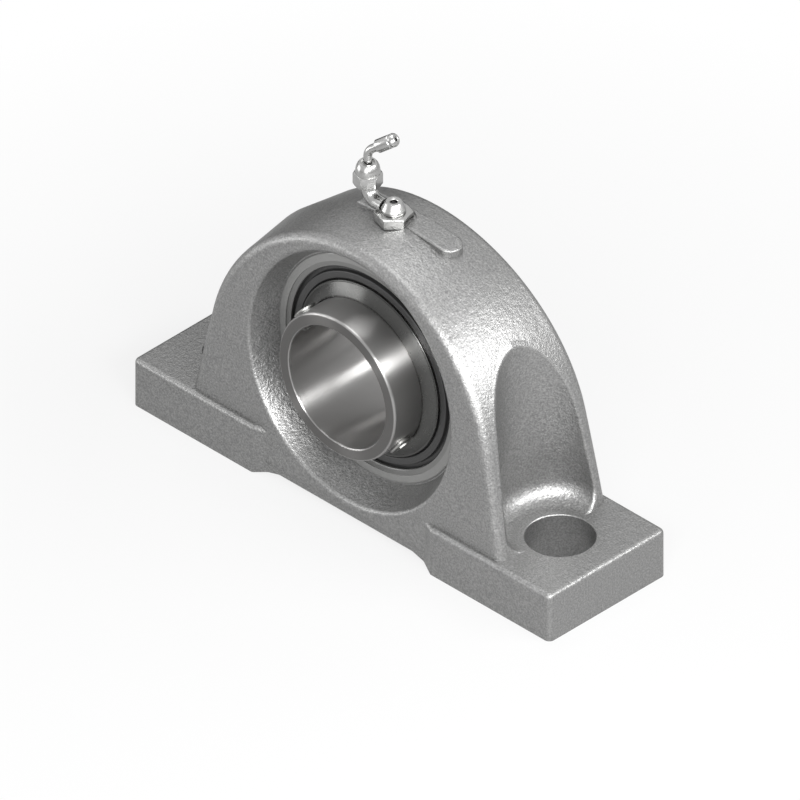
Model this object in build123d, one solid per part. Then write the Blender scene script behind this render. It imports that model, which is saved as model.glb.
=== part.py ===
"""Pillow block bearing: cast two-bolt housing, sealed insert bearing and angled grease fitting.

Millimetres. +X runs along the base to the foot on the right of the view, -Y is the side with
the long inner ring and the set screws, +Z is up. The origin is on the underside of the base,
below the centre of the bore.
"""

import os
from math import cos, hypot, radians, sin, sqrt, tan

from build123d import *

# Base of the casting
BASE_LENGTH = 219.0
BASE_WIDTH = 62.0
FOOT_HEIGHT = 21.0
FOOT_LENGTH = 62.6
FOOT_CORNER = 2.4
FOOT_EDGE = 1.8
WEB_SETBACK = 2.6
WEB_STEP_RUN = 6.0
WEB_RELIEF = 2.0
WEB_RELIEF_RUN = 7.0
WEB_ROUND = 2.4
BOLT_SPACING = 169.0
BOLT_HOLE = 27.0
BOLT_HOLE_EDGE = 0.6
SHAFT_HEIGHT = 63.5

# Insert bearing: the shaft's bore, and each ring and race a step outwards from it
SHAFT_BORE = 50.8
RING_LONG = 33.4
RING_SHORT = 22.2
COLLAR_WALL = 5.1
COLLAR_RADIUS = SHAFT_BORE / 2 + COLLAR_WALL
COLLAR_EDGE = 1.1
BORE_EDGE = 0.7
LAND_STEP = 4.1
LAND_RADIUS = COLLAR_RADIUS + LAND_STEP
LAND_HALF = 14.2
BALL_DIAMETER = 14.288
BALL_COUNT = 10
PITCH_STEP = 4.15
PITCH_RADIUS = LAND_RADIUS + PITCH_STEP
RACE_CONFORMITY = 0.52
RACE_PLAY = 0.01
OUTER_LAND_STEP = 3.05
OUTER_LAND_RADIUS = PITCH_RADIUS + OUTER_LAND_STEP
OUTER_RING_SECTION = 8.2
SEAT_RADIUS = OUTER_LAND_RADIUS + OUTER_RING_SECTION
OUTER_RING_HALF = 16.0
OUTER_RING_EDGE = 0.8
OUTER_LIP_CHAMFER = 0.3
FACE_LAND_WIDTH = 2.2
FACE_LAND_DEPTH = 0.3
SEAL_GROOVE_DEPTH = 1.5
SEAL_GROOVE_RADIUS = OUTER_LAND_RADIUS + SEAL_GROOVE_DEPTH
SEAL_GROOVE_WIDTH = 2.1
SEAL_GROOVE_INSET = 1.5
GREASE_HOLE = 3.0
GREASE_HOLE_Y = 8.4
GREASE_HOLES = 3
CAGE_THICKNESS = 3.7
CAGE_HALF = 8.4
CAGE_PLAY = 0.2

# Front and back recesses, on both sides of the spherical seat
RECESS_FLARE = 4.0
RECESS_MOUTH = SEAT_RADIUS + RECESS_FLARE
RECESS_TOE = 2.0
RECESS_FOOT = SEAT_RADIUS - RECESS_TOE
RING_PROUD = 0.4
RECESS_FLOOR_Y = OUTER_RING_HALF - RING_PROUD
RECESS_RIM = 1.8
LOADING_SLOT_PLAY = 0.5

# Arch of the casting
CROWN_WALL = 4.9
CROWN_HEIGHT = SHAFT_HEIGHT + RECESS_MOUTH + CROWN_WALL
ARCH_RADIUS = 78.0
ARCH_CENTRE = CROWN_HEIGHT - ARCH_RADIUS
FLANK_LEAN = 12.0
ARCH_DRAFT = 7.5
FACE_AT_BASE = 0.935 * BASE_WIDTH / 2
FACE_AT_BORE = 0.865 * BASE_WIDTH / 2
FACE_AT_CROWN = 0.690 * BASE_WIDTH / 2
ARCH_RIM = 4.0

# Scoops above the bolt holes
SCOOP_RADIUS = 22.0
SCOOP_INSET = 3.1
SCOOP_CENTRE = BOLT_SPACING / 2 - SCOOP_INSET
SCOOP_SPREAD = 1.2
SCOOP_DRAFT = 1.2
SCOOP_FLOOR_BLEND = 8.0
SCOOP_LIP = 1.2

# Fitting boss and grease passage
BOSS_RISE = 0.6
BOSS_TOP = CROWN_HEIGHT + BOSS_RISE
BOSS_CROWN_RADIUS = 190.0
BOSS_HALF_WIDTH = 5.2
BOSS_REACH = 21.6
BOSS_OFFSET = 4.5
BOSS_EDGE = 0.8
SPOT_FACE_RADIUS = 8.6
SPOT_FACE_DEPTH = 0.9
SPOT_FACE_Z = BOSS_TOP - SPOT_FACE_DEPTH
FITTING_X = -3.0
GREASE_BORE = 4.0
TAP_BORE = 9.0
TAP_DEPTH = 9.0
GREASE_GROOVE_Y = 4.2
GREASE_GROOVE_WIDTH = 11.0
GREASE_GROOVE_DEPTH = 1.5

# Seals, flingers and set screws
SEAL_GAP = 0.15
SEAL_THICKNESS = 1.1
SEAL_BODY_WIDTH = 5.15
SEAL_LIP_WIDTH = 2.2
SEAL_RECESS = 0.3
FLINGER_REACH = 5.9
FLINGER_GAP = 0.3
FLINGER_DISH = 2.8
FLINGER_PLATE = 0.8
SCREW_INSET = 8.2
SCREW_DIAMETER = 9.6
SCREW_STAND = 1.3
SCREW_SOCKET = 5.0
SCREW_SOCKET_DEPTH = 3.2
SCREW_EDGE = 0.7
SCREW_GAP = 0.05
SCREW_ANGLES = {"left": 142.3, "right": -34.7}

# Grease fitting: adapter and straight nipple
HEX_FLATS = 13.0
HEX_THICKNESS = 4.0
HEX_TURN = 45.0
HEX_CORNER_CHAMFER = 0.7
STUB_DIAMETER = 8.9
STUB_LENGTH = 7.5
NIPPLE_BASE = 9.4
NIPPLE_BAND = 1.6
NIPPLE_HEIGHT = 4.6
NIPPLE_TOP = 6.2
NIPPLE_SHANK = 5.0
NIPPLE_SHANK_LENGTH = 3.4
NIPPLE_MOUTH = 2.6
NIPPLE_SEAT = 1.3
NIPPLE_BORE = 3.6
NIPPLE_BALL = 3.0
NIPPLE_TRAVEL = 1.2

# Grease fitting: elbow, union nut, neck and tip nipple
TUBE_DIAMETER = 6.0
TUBE_BORE = 2.6
TUBE_Z = 3.9
TUBE_START = 4.9
TUBE_REACH = 13.6
TUBE_BEND = 5.4
NUT_FLATS = 9.9
NUT_BOTTOM = 9.7
TUBE_ENTRY = 2.5
NUT_BAND = 5.4
NUT_CORNER_CHAMFER = 0.5
NUT_DOME = 4.7
NUT_DOME_BASE = 9.5
NUT_DOME_TOP = 7.0
NUT_CAVITY = 6.6
NUT_CAVITY_HEIGHT = 3.0
NUT_MOUTH = 5.2
NUT_MOUTH_DEPTH = 0.9
NECK_DIAMETER = 3.4
NECK_BORE = 1.6
NECK_RISE = 2.6
NECK_BEND = 5.0
NECK_LEAN = 54.0
NECK_TURN = 22.0
NECK_RUN = 2.4
TIP_DIAMETER = 5.4
TIP_GROOVE = 0.35
TIP_LENGTH = 9.4
TIP_SOCKET = 2.0
TIP_MOUTH = 1.5
TIP_SEAT = 0.9
TIP_BORE = 2.2
TIP_BALL = 1.8
TIP_TRAVEL = 0.8
SPRING_WIRE = 0.35
SPRING_TURNS = 4


def at_bore(x=0.0, y=0.0, z=0.0):
    """A place measured from the centre of the bore."""
    return Pos(x, y, SHAFT_HEIGHT + z)


def turned(points):
    """A solid of revolution about the bore axis from (radius, y) corners."""
    face = make_face(Polyline([(r, y) for r, y in points], close=True))
    return at_bore() * revolve(face, Axis.Y)


def obround(length, radius, x0=0.0):
    """A stadium face along X from x0 on, one end round about x0."""
    return Circle(radius) + Pos(length / 2 + x0, 0) * Rectangle(length, 2 * radius)


def arch_profile():
    """The arch seen from the front: one big arc on two leaning flanks."""
    lean = radians(FLANK_LEAN)
    x1 = ARCH_RADIUS * cos(lean)
    z1 = ARCH_CENTRE + ARCH_RADIUS * sin(lean)
    x0 = x1 + z1 * tan(lean)
    crown = (0, ARCH_CENTRE + ARCH_RADIUS)
    lines = Line((-x0, 0), (x0, 0)) + Line((x0, 0), (x1, z1))
    lines += ThreePointArc((x1, z1), crown, (-x1, z1)) + Line((-x1, z1), (-x0, 0))
    return Plane.XZ * make_face(lines)


def arch_side_slab():
    """The space between the gently bowed front and back faces of the arch."""
    top = CROWN_HEIGHT + ARCH_RIM
    front = ThreePointArc((FACE_AT_BASE, 0), (FACE_AT_BORE, SHAFT_HEIGHT), (FACE_AT_CROWN, top))
    back = ThreePointArc((-FACE_AT_CROWN, top), (-FACE_AT_BORE, SHAFT_HEIGHT), (-FACE_AT_BASE, 0))
    lines = front + Line((FACE_AT_CROWN, top), (-FACE_AT_CROWN, top)) + back
    lines += Line((-FACE_AT_BASE, 0), (FACE_AT_BASE, 0))
    return extrude(Plane.YZ * make_face(lines), BASE_LENGTH / 2, both=True)


def arch():
    """The arch body, tapered from its middle plane, with rounded rims."""
    body = extrude(arch_profile(), BASE_WIDTH / 2, both=True, taper=ARCH_DRAFT)
    body = body & arch_side_slab()
    return fillet(body.edges().filter_by(is_arch_rim), ARCH_RIM)


def is_arch_rim(edge):
    """Whether an edge runs along the rim of the arch's front or back face."""
    middle = edge.center()
    return middle.Z > WEB_RELIEF and abs(middle.Y) > ARCH_RIM and edge.length > SCOOP_RADIUS


def scoop_cutter(side):
    """The tool shape that hollows one flank down to the top of the foot."""
    reach = BASE_LENGTH / 2 + SCOOP_RADIUS / 2 - SCOOP_CENTRE
    outline = Pos(SCOOP_CENTRE, 0, FOOT_HEIGHT) * obround(reach, SCOOP_RADIUS + SCOOP_SPREAD)
    block = extrude(outline, CROWN_HEIGHT, taper=SCOOP_DRAFT)
    floor = block.faces().sort_by(Axis.Z)[0]
    edges = [e for e in floor.edges() if e.center().X < SCOOP_CENTRE + reach - 1]
    block = fillet(edges, SCOOP_FLOOR_BLEND)
    return block if side > 0 else mirror(block, Plane.YZ)


def base_outline():
    """Plan of the two feet and the narrower web that joins them."""
    end = BASE_LENGTH / 2
    half = BASE_WIDTH / 2
    x1 = end - FOOT_LENGTH
    x2 = x1 - WEB_STEP_RUN
    y2 = half - WEB_SETBACK
    corners = [(end, -half), (end, half), (x1, half), (x2, y2), (-x2, y2), (-x1, half)]
    corners += [(-x, -y) for x, y in corners]
    return make_face(Polyline(corners, close=True))


def base():
    """The slab with both feet, its corners and top edges eased, open where the arch stands."""
    slab = extrude(base_outline(), FOOT_HEIGHT)
    slab = fillet(slab.edges().filter_by(Axis.Z), FOOT_CORNER)
    top = slab.faces().sort_by(Axis.Z)[-1]
    slab = fillet(top.edges(), FOOT_EDGE)
    return slab - at_bore() * Cylinder(RECESS_MOUTH + RECESS_RIM, 2 * BASE_WIDTH, rotation=(90, 0, 0))


def web_relief():
    """The shallow gap under the web, so that only the two feet bear."""
    inner = BASE_LENGTH / 2 - FOOT_LENGTH
    relief = [(-inner, 0), (-inner + WEB_RELIEF_RUN, WEB_RELIEF), (inner - WEB_RELIEF_RUN, WEB_RELIEF)]
    relief += [(inner, 0), (inner, -1), (-inner, -1)]
    return extrude(Plane.XZ * make_face(Polyline(relief, close=True)), BASE_WIDTH, both=True)


def recess(side):
    """One flared recess in front of the seat, as a solid to remove."""
    floor = sqrt(SEAT_RADIUS**2 - RECESS_FLOOR_Y**2)
    slope = (RECESS_MOUTH - RECESS_FOOT) / (FACE_AT_BASE - RECESS_FLOOR_Y)
    outside = RECESS_FOOT + slope * (BASE_WIDTH - RECESS_FLOOR_Y)
    points = [(0, 0), (floor, 0), (floor, RECESS_FLOOR_Y), (RECESS_FOOT, RECESS_FLOOR_Y)]
    points += [(outside, BASE_WIDTH), (0, BASE_WIDTH)]
    return turned([(r, side * y) for r, y in points])


def boss():
    """The raised tongue on the crown that carries the grease fitting."""
    foot = SHAFT_HEIGHT + RECESS_MOUTH - BOSS_EDGE
    outline = Pos(0, BOSS_OFFSET, foot) * obround(2 * BOSS_REACH, BOSS_HALF_WIDTH, -BOSS_REACH)
    outline += Pos(BOSS_REACH, BOSS_OFFSET, foot) * Circle(BOSS_HALF_WIDTH)
    block = extrude(outline, BASE_WIDTH)
    middle = Plane.XZ * Circle(BOSS_CROWN_RADIUS)
    crown = Pos(0, 0, BOSS_TOP - BOSS_CROWN_RADIUS) * extrude(middle, BASE_WIDTH, both=True)
    block = block & crown
    top = block.faces().sort_by(Axis.Z)[-1]
    return fillet(top.edges(), BOSS_EDGE)


def grease_passage():
    """Groove in the seat, drilled passage, tapped hole and spot face for the fitting."""
    groove = Cylinder(SEAT_RADIUS + GREASE_GROOVE_DEPTH, GREASE_GROOVE_WIDTH, rotation=(90, 0, 0))
    cut = at_bore(y=GREASE_GROOVE_Y) * groove
    drill = SPOT_FACE_Z - SHAFT_HEIGHT - SEAT_RADIUS + 3
    cut += Pos(FITTING_X, 0, SPOT_FACE_Z - drill / 2) * Cylinder(GREASE_BORE / 2, drill)
    cut += Pos(FITTING_X, 0, SPOT_FACE_Z - TAP_DEPTH / 2) * Cylinder(TAP_BORE / 2, TAP_DEPTH)
    cut += Pos(FITTING_X, 0, SPOT_FACE_Z + 5) * Cylinder(SPOT_FACE_RADIUS, 10)
    return cut


def loading_slots():
    """The two slots in the back half of the seat that let the insert be turned in."""
    disc = at_bore(y=RECESS_FLOOR_Y / 2) * Cylinder(SEAT_RADIUS, RECESS_FLOOR_Y, rotation=(90, 0, 0))
    height = 2 * (OUTER_RING_HALF + LOADING_SLOT_PLAY)
    return disc & at_bore(y=RECESS_FLOOR_Y / 2) * Box(BASE_LENGTH, RECESS_FLOOR_Y, height)


def hollowed_arch():
    """The arch with both recesses and both scoops, their rims rounded as cast."""
    body = arch() - recess(1) - recess(-1)
    body = fillet(body.edges().filter_by(is_recess_rim), RECESS_RIM)
    for side in (1, -1):
        body = body - scoop_cutter(side)
    lips = body.edges().filter_by(is_scoop_lip)
    return fillet(lips, SCOOP_LIP)


def is_recess_rim(edge):
    """Whether an edge is where a recess opens through the front or back face of the arch."""
    middle = edge.center()
    reach = hypot(middle.X, middle.Z - SHAFT_HEIGHT)
    return RECESS_FOOT + 1 < reach < RECESS_MOUTH + 1 and abs(middle.Y) > RECESS_FLOOR_Y + 1


def is_scoop_lip(edge):
    """Whether an edge is where a scoop opens through the outside of the arch."""
    middle = edge.center()
    outside = edge.geom_type != GeomType.CIRCLE and abs(middle.X) > SCOOP_CENTRE - SCOOP_RADIUS
    return outside and abs(middle.Y) < SCOOP_RADIUS + 1 and middle.Z > FOOT_HEIGHT + 2


def is_web_underside(edge):
    """Whether an edge runs along one side of the relieved underside."""
    middle = edge.center()
    low = abs(middle.Z - WEB_RELIEF) < 0.1
    return low and abs(middle.Y) > BASE_WIDTH / 3 and edge.length > 2 * WEB_RELIEF_RUN


def bolt_hole():
    """One bolt hole with its eased mouth."""
    edge = BOLT_HOLE_EDGE
    cut = Pos(0, 0, FOOT_HEIGHT / 2) * Cylinder(BOLT_HOLE / 2, FOOT_HEIGHT + 2)
    return cut + Pos(0, 0, FOOT_HEIGHT) * Cone(BOLT_HOLE / 2 - edge, BOLT_HOLE / 2 + 2 * edge, 3 * edge)


def housing():
    """The casting: base, arch, scoops, seat, bolt holes and grease passage."""
    body = hollowed_arch() + base() - web_relief()
    body = fillet(body.edges().filter_by(is_web_underside), WEB_ROUND)
    body = body + boss()
    body = body - at_bore() * Sphere(SEAT_RADIUS)
    body = body - loading_slots() - grease_passage()
    for side in (1, -1):
        body = body - Pos(side * BOLT_SPACING / 2, 0, 0) * bolt_hole()
    return body


def race(side):
    """The groove that the balls run in: side 1 in the outer ring, -1 in the inner."""
    groove = RACE_CONFORMITY * BALL_DIAMETER
    centre = PITCH_RADIUS + side * (BALL_DIAMETER / 2 + RACE_PLAY - groove)
    return at_bore() * Torus(centre, groove, rotation=(90, 0, 0))


def at_angle(angle, radius, y=0.0):
    """A place on the bore axis wheel, its own X pointing outwards."""
    return at_bore(y=y) * Rot(0, -angle, 0) * Pos(radius, 0, 0)


def outer_ring():
    """Outer ring with its spherical outside, race, seal grooves and grease holes."""
    half = OUTER_RING_HALF
    edge = sqrt(SEAT_RADIUS**2 - half**2)
    outer = half - SEAL_GROOVE_INSET
    inner = outer - SEAL_GROOVE_WIDTH
    side = [(OUTER_LAND_RADIUS, inner), (SEAL_GROOVE_RADIUS, inner), (SEAL_GROOVE_RADIUS, outer)]
    low = half - FACE_LAND_DEPTH
    step = OUTER_LAND_RADIUS + FACE_LAND_WIDTH
    side += [(OUTER_LAND_RADIUS, outer), (OUTER_LAND_RADIUS, low - OUTER_LIP_CHAMFER)]
    side += [(OUTER_LAND_RADIUS + OUTER_LIP_CHAMFER, low), (step, low), (step, half)]
    side += [(SEAT_RADIUS + 1, half)]
    ring = turned(side + [(r, -y) for r, y in reversed(side)])
    ring = ring & at_bore() * Sphere(SEAT_RADIUS)
    rims = [e for e in ring.edges().filter_by(GeomType.CIRCLE) if abs(e.radius - edge) < 0.01]
    ring = fillet(rims, OUTER_RING_EDGE)
    ring = ring - race(1)
    for n in range(GREASE_HOLES):
        spot = at_angle(90 + n * 360 / GREASE_HOLES, SEAT_RADIUS - 4, GREASE_HOLE_Y)
        ring = ring - spot * Cylinder(GREASE_HOLE / 2, 12, rotation=(0, 90, 0))
    return ring


def inner_ring():
    """Inner ring with its long screw collar at the front and its race."""
    bore = SHAFT_BORE / 2
    points = [(bore, -RING_LONG), (COLLAR_RADIUS, -RING_LONG), (COLLAR_RADIUS, -LAND_HALF)]
    points += [(LAND_RADIUS, -LAND_HALF), (LAND_RADIUS, LAND_HALF), (COLLAR_RADIUS, LAND_HALF)]
    points += [(COLLAR_RADIUS, RING_SHORT), (bore, RING_SHORT)]
    ring = turned(points)
    ends = [e for e in ring.edges().filter_by(GeomType.CIRCLE) if abs(e.center().Y) > LAND_HALF + 1]
    ring = fillet([e for e in ends if e.radius > COLLAR_RADIUS - 1], COLLAR_EDGE)
    ends = [e for e in ring.edges().filter_by(GeomType.CIRCLE) if abs(e.radius - bore) < 0.01]
    ring = fillet(ends, BORE_EDGE) - race(-1)
    for angle in SCREW_ANGLES.values():
        hole = Cylinder(SCREW_DIAMETER / 2 + SCREW_GAP, 14, rotation=(0, 90, 0))
        ring = ring - at_angle(angle, COLLAR_RADIUS, SCREW_INSET - RING_LONG) * hole
    return ring


def cage():
    """Ball cage: a plain ring with a round pocket for every ball."""
    inner = PITCH_RADIUS - CAGE_THICKNESS / 2
    outer = PITCH_RADIUS + CAGE_THICKNESS / 2
    ring = turned([(inner, -CAGE_HALF), (outer, -CAGE_HALF), (outer, CAGE_HALF), (inner, CAGE_HALF)])
    for n in range(BALL_COUNT):
        ring = ring - ball_place(n) * Sphere(BALL_DIAMETER / 2 + CAGE_PLAY)
    return ring


def ball_place(n):
    """The centre of ball n, counted round from beside +X."""
    return at_angle((n + 0.5) * 360 / BALL_COUNT, PITCH_RADIUS)


def seal(side):
    """Seal ring snapped into the outer ring, running on the inner ring's land."""
    inner = LAND_RADIUS + SEAL_GAP
    outer = SEAL_GROOVE_RADIUS - SEAL_GAP
    face = inner + SEAL_BODY_WIDTH
    y0 = OUTER_RING_HALF - SEAL_GROOVE_INSET - SEAL_GROOVE_WIDTH + SEAL_GAP
    y1 = y0 + SEAL_THICKNESS
    y2 = OUTER_RING_HALF - SEAL_RECESS
    points = [(inner, y0), (outer, y0), (outer, y1), (face + 0.5, y1), (face, y1 + 0.5), (face, y2)]
    points += [(inner + SEAL_LIP_WIDTH, y2), (inner + SEAL_LIP_WIDTH - 0.6, y1), (inner, y1)]
    return turned([(r, side * y) for r, y in points])


def flinger(side):
    """Dished plate pressed on the collar, turning in front of the seal."""
    root = COLLAR_RADIUS
    rim = root + FLINGER_REACH
    low = OUTER_RING_HALF + FLINGER_GAP - FLINGER_PLATE
    high = low + FLINGER_DISH
    points = [(root, LAND_HALF), (root + FLINGER_PLATE, LAND_HALF), (root + FLINGER_PLATE, high - 0.5)]
    points += [(rim, low), (rim, low + FLINGER_PLATE), (root + 0.5, high + FLINGER_PLATE)]
    points += [(root, high + FLINGER_PLATE)]
    return turned([(r, side * y) for r, y in points])


def set_screw(angle):
    """One socket set screw in the collar, standing a little proud."""
    low = SHAFT_BORE / 2 + 0.1
    high = COLLAR_RADIUS + SCREW_STAND
    body = Cylinder(SCREW_DIAMETER / 2, high - low)
    body = chamfer(body.edges().filter_by(GeomType.CIRCLE), SCREW_EDGE)
    socket = extrude(RegularPolygon(SCREW_SOCKET / sqrt(3), 6), SCREW_SOCKET_DEPTH)
    body = body - Pos(0, 0, (high - low) / 2 - SCREW_SOCKET_DEPTH) * socket
    return at_angle(angle, (low + high) / 2, SCREW_INSET - RING_LONG) * Rot(0, 90, 0) * body


def fitting_axis(z=0.0):
    """A place on the axis of the grease fitting, measured from its seat."""
    return Pos(FITTING_X, 0, SPOT_FACE_Z + z)


def spun(points):
    """A solid of revolution about Z from (radius, z) corners."""
    return revolve(Plane.XZ * make_face(Polyline(points, close=True)), Axis.Z)


def hex_prism(flats, height, bite):
    """A hexagonal block whose top corners are turned off."""
    block = extrude(RegularPolygon(flats / sqrt(3), 6), height)
    reach = flats / sqrt(3) + 0.01
    return block & spun([(0, 0), (reach, 0), (reach, height - bite), (reach - 2 * bite, height), (0, height)])


def adapter():
    """Hexagonal adapter screwed into the crown; it carries the nipple and the elbow."""
    body = Rot(0, 0, HEX_TURN) * hex_prism(HEX_FLATS, HEX_THICKNESS, HEX_CORNER_CHAMFER)
    body += Pos(0, 0, -STUB_LENGTH / 2) * Cylinder(STUB_DIAMETER / 2, STUB_LENGTH)
    body = body - Pos(0, 0, -STUB_LENGTH / 2) * Cylinder(1.5, STUB_LENGTH + 2)
    top = HEX_THICKNESS - NIPPLE_SHANK_LENGTH / 2
    body = body - Pos(0, 0, top) * Cylinder(NIPPLE_SHANK / 2, NIPPLE_SHANK_LENGTH)
    body = fitting_axis() * body
    return body - elbow_path_solid(TUBE_DIAMETER)


def elbow_path_solid(diameter):
    """The elbow's run as a round bar, from the adapter to inside the union nut."""
    start = -TUBE_START
    corner = (-TUBE_REACH, 0, TUBE_Z)
    end = (-TUBE_REACH, 0, NUT_BOTTOM + TUBE_ENTRY)
    path = FilletPolyline((start, 0, TUBE_Z), corner, end, radius=TUBE_BEND)
    section = Plane((start, 0, TUBE_Z), z_dir=(-1, 0, 0)) * Circle(diameter / 2)
    return fitting_axis() * sweep(section, path=path)


def elbow():
    """Bent tube brazed into the side of the adapter."""
    return elbow_path_solid(TUBE_DIAMETER) - elbow_path_solid(TUBE_BORE)


def nipple():
    """Straight grease nipple screwed into the adapter."""
    r = NIPPLE_BASE / 2
    top = NIPPLE_TOP / 2
    bore = NIPPLE_BORE / 2
    mouth = NIPPLE_MOUTH / 2
    points = [(bore, -NIPPLE_SHANK_LENGTH + 0.1), (NIPPLE_SHANK / 2, -NIPPLE_SHANK_LENGTH + 0.1)]
    points += [(NIPPLE_SHANK / 2, 0), (r - 0.5, 0), (r, 0.4), (r, NIPPLE_BAND), (top, NIPPLE_HEIGHT - 0.3)]
    points += [(top - 0.3, NIPPLE_HEIGHT), (mouth, NIPPLE_HEIGHT), (mouth, NIPPLE_HEIGHT - NIPPLE_SEAT)]
    points += [(bore, NIPPLE_HEIGHT - NIPPLE_SEAT - (bore - mouth))]
    return fitting_axis(HEX_THICKNESS) * spun(points)


def ball_rest(mouth, ball):
    """How far below the mouth's seat a check ball's centre rests."""
    return sqrt((ball / 2) ** 2 - (mouth / 2) ** 2) + 0.02


def nipple_ball():
    """Check ball of the straight nipple, resting against its seat."""
    z = NIPPLE_HEIGHT - NIPPLE_SEAT - ball_rest(NIPPLE_MOUTH, NIPPLE_BALL)
    return fitting_axis(HEX_THICKNESS + z) * Sphere(NIPPLE_BALL / 2)


def coil(radius, height):
    """A small compression spring standing on the XY plane."""
    path = Helix(pitch=height / SPRING_TURNS, height=height, radius=radius)
    section = Plane(path @ 0, z_dir=path % 0) * Rectangle(SPRING_WIRE, SPRING_WIRE)
    return sweep(section, path=path, is_frenet=True)


def nipple_spring():
    """Spring that holds the straight nipple's ball against its seat."""
    top = NIPPLE_HEIGHT - NIPPLE_SEAT - ball_rest(NIPPLE_MOUTH, NIPPLE_BALL) - NIPPLE_BALL / 2 + 0.3
    low = -NIPPLE_SHANK_LENGTH + 0.4
    return fitting_axis(HEX_THICKNESS + low) * coil(NIPPLE_BORE / 2 - 0.6, top - low)


def union_nut():
    """Union nut that clamps the neck tube to the elbow."""
    body = hex_prism(NUT_FLATS, NUT_BAND, NUT_CORNER_CHAMFER)
    r0 = NUT_DOME_BASE / 2
    r1 = NUT_DOME_TOP / 2
    z0 = NUT_BAND
    z1 = NUT_BAND + NUT_DOME
    shoulder = ((r0 + r1) / 2 + 0.4, z0 + 3.0)
    body += spun([(0, z0 - 1), (r0, z0 - 1), (r0, z0 + 0.8), shoulder, (r1, z1), (0, z1)])
    body = Rot(0, 0, HEX_TURN) * body
    body = body - Cylinder(TUBE_DIAMETER / 2, 2 * TUBE_ENTRY)
    cavity = Cylinder(NUT_CAVITY / 2, NUT_CAVITY_HEIGHT, align=(Align.CENTER, Align.CENTER, Align.MIN))
    body = body - Pos(0, 0, TUBE_ENTRY) * cavity
    body = body - Pos(0, 0, z1) * Cylinder(NUT_MOUTH / 2, 2 * NUT_MOUTH_DEPTH)
    body = body - Pos(0, 0, z1) * Cylinder(NECK_DIAMETER / 2, 12)
    return nut_axis() * body


def nut_axis(z=0.0):
    """A place on the axis of the union nut, measured from its underside."""
    return fitting_axis(NUT_BOTTOM + z) * Pos(-TUBE_REACH, 0, 0)


def neck_direction():
    """Unit direction of the tip nipple, from the union nut's axis."""
    lean = radians(NECK_LEAN)
    turn = radians(NECK_TURN)
    return Vector(sin(lean) * cos(turn), sin(lean) * sin(turn), cos(lean))


def neck_points():
    """Start, corner and end of the neck tube's centre line, from the nut's underside."""
    corner = NUT_BAND + NUT_DOME + NECK_RISE + NECK_BEND * tan(radians(NECK_LEAN / 2))
    end = Vector(0, 0, corner) + neck_direction() * (NECK_BEND * tan(radians(NECK_LEAN / 2)) + NECK_RUN)
    return Vector(0, 0, NUT_BAND - 1.4), Vector(0, 0, corner), end


def neck():
    """Thin bent tube with a collar held inside the union nut."""
    start, corner, end = neck_points()
    path = FilletPolyline(start, corner, end + neck_direction() * TIP_SOCKET, radius=NECK_BEND)
    plane = Plane(start, z_dir=(0, 0, 1))
    body = sweep(plane * Circle(NECK_DIAMETER / 2), path=path)
    body += Pos(start) * Cylinder(NUT_CAVITY / 2 - 0.1, 1.4, align=(Align.CENTER, Align.CENTER, Align.MIN))
    return nut_axis() * (body - sweep(plane * Circle(NECK_BORE / 2), path=path))


def tip_place(depth=0.0):
    """A frame on the tip nipple's axis, Z along it, from its rear face."""
    end = neck_points()[2]
    return nut_axis() * Plane(end + neck_direction() * depth, z_dir=neck_direction()).location


def tip_nipple():
    """Nipple at the end of the neck, bored for its ball and spring."""
    r = TIP_DIAMETER / 2
    bore = TIP_BORE / 2
    mouth = TIP_MOUTH / 2
    socket = NECK_DIAMETER / 2
    z1 = TIP_LENGTH
    cut = TIP_GROOVE
    points = [(socket, 0), (r - 0.5, 0), (r, 0.5), (r, z1 - 2.8), (r - cut, z1 - 2.6), (r - cut, z1 - 2.3)]
    points += [(r, z1 - 2.1), (r, z1 - 1.2), (r - 0.9, z1), (mouth, z1)]
    points += [(mouth, z1 - TIP_SEAT), (bore, z1 - TIP_SEAT - (bore - mouth)), (bore, TIP_SOCKET)]
    points += [(socket, TIP_SOCKET)]
    return tip_place() * spun(points)


def tip_ball():
    """Check ball of the tip nipple."""
    depth = TIP_LENGTH - TIP_SEAT - ball_rest(TIP_MOUTH, TIP_BALL)
    return tip_place(depth) * Sphere(TIP_BALL / 2)


def tip_spring():
    """Spring behind the tip nipple's ball."""
    low = TIP_SOCKET + 0.2
    high = TIP_LENGTH - TIP_SEAT - ball_rest(TIP_MOUTH, TIP_BALL) - TIP_BALL / 2 + 0.1
    return tip_place(low) * coil(TIP_BORE / 2 - 0.35, high - low)


def all_parts():
    """Every node by name."""
    parts = {"housing": housing(), "outer_ring": outer_ring(), "inner_ring": inner_ring(), "cage": cage()}
    for n in range(BALL_COUNT):
        parts[f"ball_{n + 1:02d}"] = ball_place(n) * Sphere(BALL_DIAMETER / 2)
    for name, side in (("front", -1), ("back", 1)):
        parts[f"seal_{name}"] = seal(side)
        parts[f"flinger_{name}"] = flinger(side)
    for name, angle in SCREW_ANGLES.items():
        parts[f"set_screw_{name}"] = set_screw(angle)
    parts["fitting_adapter"] = adapter()
    parts["nipple"] = nipple()
    parts["nipple_ball"] = nipple_ball()
    parts["nipple_spring"] = nipple_spring()
    parts["fitting_elbow"] = elbow()
    parts["union_nut"] = union_nut()
    parts["fitting_neck"] = neck()
    parts["tip_nipple"] = tip_nipple()
    parts["tip_ball"] = tip_ball()
    parts["tip_spring"] = tip_spring()
    return parts


os.makedirs("parts", exist_ok=True)
for part_name, shape in all_parts().items():
    shape.label = part_name
    export_step(shape, f"parts/{part_name}.step")
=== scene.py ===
"""Looks of the pillow block bearing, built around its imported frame. Lengths are in metres."""
import math

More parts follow.
